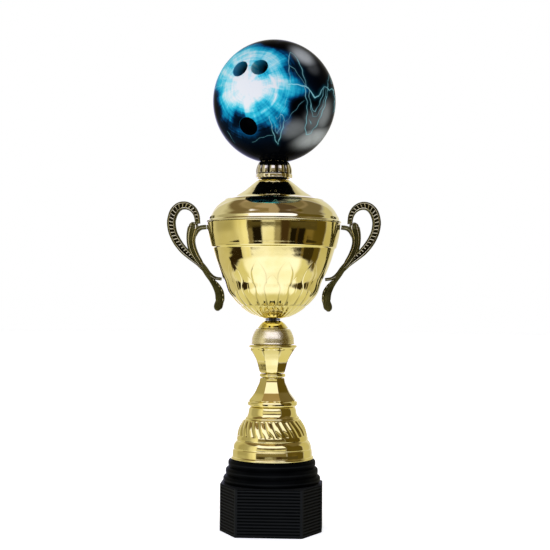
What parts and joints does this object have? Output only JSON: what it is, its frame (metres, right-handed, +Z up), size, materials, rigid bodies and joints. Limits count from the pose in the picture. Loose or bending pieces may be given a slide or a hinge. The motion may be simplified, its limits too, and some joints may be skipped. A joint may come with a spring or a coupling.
{
  "type": "bowling trophy",
  "caption": "Gold two-handled trophy cup on a stacked stem and ribbed black plinth, with a lift-off lid topped by a marbled bowling ball.",
  "frame": {"origin": "centre of the bounding box at the plinth's underside, which is the trophy's turning axis", "axes": "+Z up along the turning axis, +X towards the right handle, -Y towards the front, the side of the finger holes"},
  "size_m": [0.163, 0.103, 0.3708],
  "materials": {
    "black_plastic": "satin",
    "weight_iron": "matte",
    "black_rubber": "matte",
    "fastener_steel": "satin",
    "gold_plastic": "polished",
    "satin_gold_plastic": "satin",
    "gold_metal": "polished",
    "pale_gold_metal": "polished",
    "antique_gold": "satin",
    "white_plastic": "matte",
    "insert_brass": "satin",
    "ball_resin": "gloss"
  },
  "bodies": {
    "trophy": {"base_block": "black_plastic", "base_weight": "weight_iron", "base_pad": "black_rubber", "base_nut": "fastener_steel", "base_washer": "fastener_steel", "tie_rod": "fastener_steel", "foot_bell": "gold_plastic", "lower_riser": "gold_plastic", "riser_ring": "gold_plastic", "upper_riser": "gold_plastic", "satin_dome": "satin_gold_plastic", "dome_collar": "gold_plastic", "cup_washer": "black_rubber", "cup_bowl": "gold_metal", "cup_inner_washer": "fastener_steel", "cup_nut": "fastener_steel", "handle_left": "antique_gold", "handle_washer_upper_left": "fastener_steel", "handle_nut_upper_left": "fastener_steel", "handle_washer_lower_left": "fastener_steel", "handle_nut_lower_left": "fastener_steel", "handle_right": "antique_gold", "handle_washer_upper_right": "fastener_steel", "handle_nut_upper_right": "fastener_steel", "handle_washer_lower_right": "fastener_steel", "handle_nut_lower_right": "fastener_steel"},
    "lid_assembly": {"lid": "pale_gold_metal", "lid_locating_ring": "white_plastic", "crown_washer": "black_rubber", "crown": "gold_plastic", "finial_stud": "fastener_steel", "finial_washer": "fastener_steel", "finial_nut": "fastener_steel", "ball_insert": "insert_brass", "ball": "ball_resin"}
  },
  "joints": [
    {"name": "lid_lift", "type": "slide", "parent": "trophy", "child": "lid_assembly", "axis": [0, 0, 1], "range_m": [0, 0.06]}
  ]
}
